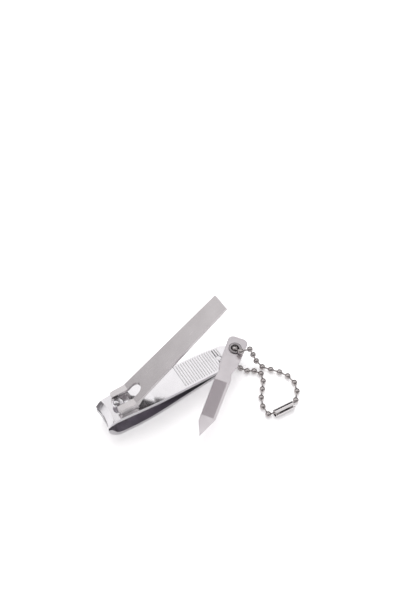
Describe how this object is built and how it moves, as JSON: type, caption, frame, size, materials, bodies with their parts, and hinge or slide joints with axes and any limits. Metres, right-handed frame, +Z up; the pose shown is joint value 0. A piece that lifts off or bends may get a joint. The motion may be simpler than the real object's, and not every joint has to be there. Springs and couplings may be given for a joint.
{
  "type": "nail clipper",
  "caption": "Folding nail clipper in plated steel with a raised pressing lever, a swing-out nail file and a ball-chain loop on its eyelet.",
  "frame": {"origin": "on the resting plane, on the swivel pin's axis, at the centre of the pin's flush foot", "axes": "+Z up, +X along the arms towards the jaws, +Y to the side where the file is swung out and the chain lies"},
  "size_m": [0.0742, 0.0372, 0.044],
  "materials": {
    "arms": "bright nickel-chrome plating",
    "pin": "bright plating",
    "lever": "bright plating with a softly ground top",
    "file": "satin plating with a cut cross hatch",
    "eyelet": "dark polished nickel",
    "rivet": "bright plating",
    "connector": "bright nickel",
    "beads": "bright nickel",
    "links": "nickel"
  },
  "bodies": {
    "arms_root": {"lower_arm": "arms", "eyelet": "eyelet", "arm_rivet": "rivet"},
    "upper_arm": {"upper_arm": "arms"},
    "pin": {"pin": "pin"},
    "lever": {"lever": "lever"},
    "file": {"file": "file"},
    "chain": {"chain_connector": "connector", "bead_01": "beads", "bead_02": "beads", "bead_03": "beads", "bead_04": "beads", "bead_05": "beads", "bead_06": "beads", "bead_07": "beads", "bead_08": "beads", "bead_09": "beads", "bead_10": "beads", "bead_11": "beads", "bead_12": "beads", "bead_13": "beads", "bead_14": "beads", "bead_15": "beads", "bead_16": "beads", "bead_17": "beads", "bead_18": "beads", "bead_19": "beads", "bead_20": "beads", "bead_21": "beads", "bead_22": "beads", "bead_23": "beads", "bead_24": "beads", "bead_25": "beads", "link_01": "links", "link_02": "links", "link_03": "links", "link_04": "links", "link_05": "links", "link_06": "links", "link_07": "links", "link_08": "links", "link_09": "links", "link_10": "links", "link_11": "links", "link_12": "links", "link_13": "links", "link_14": "links", "link_15": "links", "link_16": "links", "link_17": "links", "link_18": "links", "link_19": "links", "link_20": "links", "link_21": "links", "link_22": "links", "link_23": "links", "link_24": "links"}
  },
  "joints": [
    {"name": "pin_swivel", "type": "hinge", "parent": "arms_root", "child": "pin", "pos_m": [0, 0, 0], "axis": [0, 0, 1], "continuous": true},
    {"name": "lever_press", "type": "hinge", "parent": "pin", "child": "lever", "pos_m": [0.001, 0, 0.01185], "axis": [0, 1, 0], "range_deg": [-13, 0], "stiffness_Nm_per_rad": 0.5, "springref_deg": 11.46},
    {"name": "jaw_close", "type": "hinge", "parent": "arms_root", "child": "upper_arm", "pos_m": [-0.051, 0, 0.00648], "axis": [0, 1, 0], "range_deg": [0, 1.3]},
    {"name": "file_swing", "type": "hinge", "parent": "arms_root", "child": "file", "pos_m": [-0.051, 0, 0.00545], "axis": [-0.061, 0, 0.9981], "range_deg": [-128, 35]},
    {"name": "chain_swing", "type": "hinge", "parent": "arms_root", "child": "chain", "pos_m": [-0.051, 0, 0], "axis": [0, 0, 1], "range_deg": [0, 40]}
  ],
  "couplings": [
    {"joint": "jaw_close", "follows": "lever_press", "ratio": -0.0992}
  ]
}
